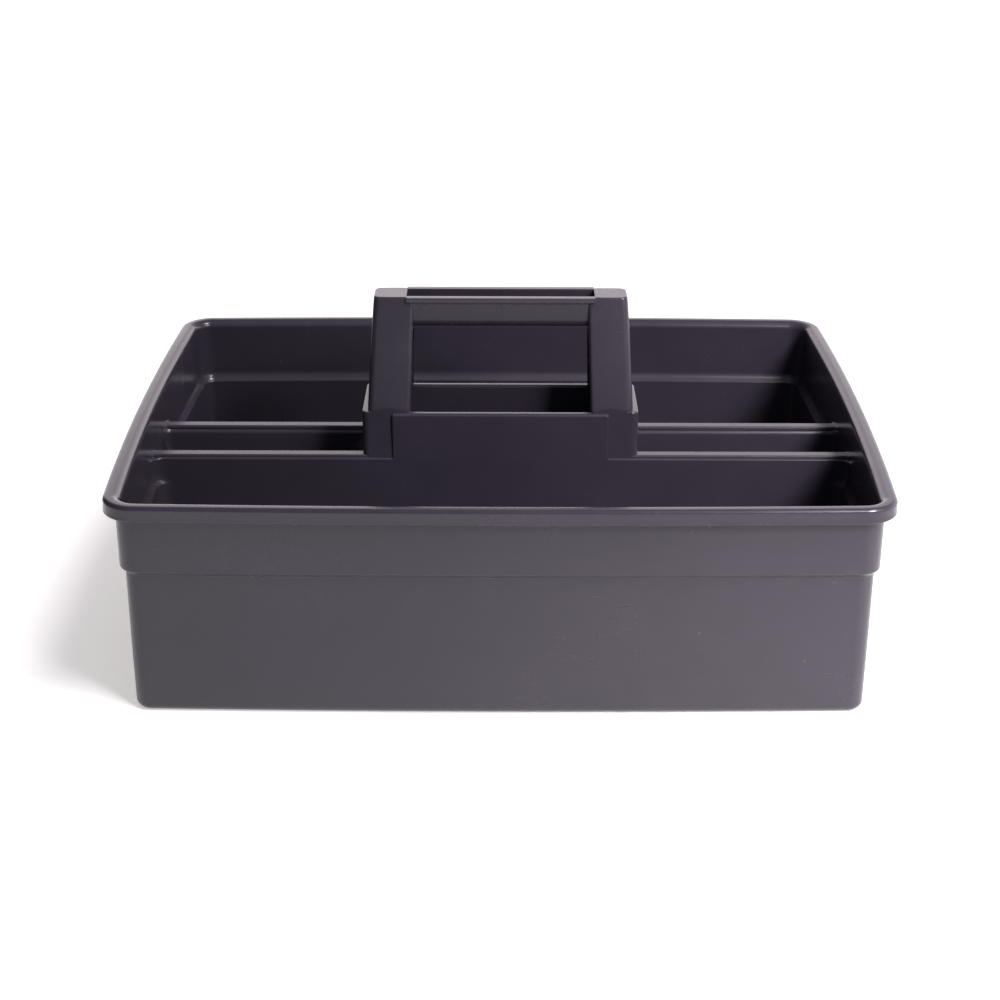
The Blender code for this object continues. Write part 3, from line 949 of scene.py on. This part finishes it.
def make_camera(context):
    """The camera."""
    lens = bpy.data.cameras.new("camera")
    lens.lens = CAMERA_LENS
    lens.sensor_width = 36.0
    lens.clip_start = 0.01
    lens.clip_end = 50.0
    camera = bpy.data.objects.new("camera", lens)
    camera.location = CAMERA_PLACE
    camera.rotation_mode = "QUATERNION"
    yaw = Quaternion((0, 0, 1), math.radians(CAMERA_YAW))
    tilt = Quaternion((1, 0, 0), math.radians(CAMERA_TILT))
    roll = Quaternion((0, 0, 1), math.radians(CAMERA_ROLL))
    camera.rotation_quaternion = yaw @ tilt @ roll
    context.scene.collection.objects.link(camera)
    context.scene.camera = camera


# --- operators ---------------------------------------------------------------------------
class CADDY_OT_tub(bpy.types.Operator):
    """Build the tub with its rolled rim"""

    bl_idname = "caddy.tub"
    bl_label = "Tub"

    def execute(self, context):
        make_tub(context)
        return {"FINISHED"}


class CADDY_OT_dividers(bpy.types.Operator):
    """Build the two dividers"""

    bl_idname = "caddy.dividers"
    bl_label = "Dividers"

    def execute(self, context):
        make_divider(context, "front_divider", -1)
        make_divider(context, "rear_divider", 1)
        return {"FINISHED"}


class CADDY_OT_panels(bpy.types.Operator):
    """Build the two centre panels"""

    bl_idname = "caddy.panels"
    bl_label = "Centre panels"

    def execute(self, context):
        make_panel(context, "front_panel", -1)
        make_panel(context, "rear_panel", 1)
        return {"FINISHED"}


class CADDY_OT_legs(bpy.types.Operator):
    """Build the two legs of the tower"""

    bl_idname = "caddy.legs"
    bl_label = "Legs"

    def execute(self, context):
        make_leg(context, "left_leg", -1)
        make_leg(context, "right_leg", 1)
        return {"FINISHED"}


class CADDY_OT_grip(bpy.types.Operator):
    """Build the trough grip"""

    bl_idname = "caddy.grip"
    bl_label = "Grip"

    def execute(self, context):
        make_grip(context)
        return {"FINISHED"}


class CADDY_OT_stage(bpy.types.Operator):
    """Set up the floor, the lights and the camera"""

    bl_idname = "caddy.stage"
    bl_label = "Stage"

    def execute(self, context):
        stage = context.scene.caddy.stage
        context.scene.view_settings.view_transform = "Standard"
        context.scene.view_settings.look = "None"
        make_floor(context, tuple(stage.floor_colour), stage.floor_glow)
        make_world(context)
        make_card(context, "left_flag", LEFT_CARD)
        sun_light(context, "key_light", KEY_DIRECTION, stage.key_strength, KEY_DEGREES,
                  KEY_COLOUR)
        area_light(context, "side_light", SIDE_SPOT, SIDE_TARGET, SIDE_SIZE,
                   stage.side_power, SIDE_COLOUR)
        area_light(context, "beam", BEAM_SPOT, BEAM_TARGET, BEAM_SIZE, stage.beam_power,
                   BEAM_COLOUR, stage.beam_spread)
        make_camera(context)
        return {"FINISHED"}


class CADDY_PT_sidebar(bpy.types.Panel):
    """Lists the caddy's settings and steps"""

    bl_label = "Tool caddy"
    bl_idname = "CADDY_PT_sidebar"
    bl_space_type = "VIEW_3D"
    bl_region_type = "UI"
    bl_category = "Caddy"

    def draw(self, context):
        layout = self.layout
        settings = context.scene.caddy
        for label, group in (
            ("Tub", settings.tub), ("Dividers", settings.divider), ("Tower", settings.tower),
            ("Plastic", settings.plastic), ("Stage", settings.stage),
        ):
            column = layout.column(align=True)
            column.label(text=label)
            for name in group.__annotations__:
                column.prop(group, name)
        for operator in OPERATORS:
            layout.operator(operator.bl_idname)


GROUPS = (
    CaddyTubSizes, CaddyDividerSizes, CaddyTowerSizes, CaddyPlasticLook, CaddyStageSet,
    CaddySettings,
)
OPERATORS = (
    CADDY_OT_tub, CADDY_OT_dividers, CADDY_OT_panels, CADDY_OT_legs, CADDY_OT_grip,
    CADDY_OT_stage,
)


def register():
    """Register the classes and the scene's settings."""
    for item in (*GROUPS, *OPERATORS, CADDY_PT_sidebar):
        bpy.utils.register_class(item)
    bpy.types.Scene.caddy = PointerProperty(type=CaddySettings)


def unregister():
    """Take them away again."""
    del bpy.types.Scene.caddy
    for item in reversed((*GROUPS, *OPERATORS, CADDY_PT_sidebar)):
        bpy.utils.unregister_class(item)


def main():
    """Build everything."""
    register()
    bpy.ops.caddy.tub()
    bpy.ops.caddy.dividers()
    bpy.ops.caddy.panels()
    bpy.ops.caddy.legs()
    bpy.ops.caddy.grip()
    bpy.ops.caddy.stage()


if __name__ == "__main__":
    main()
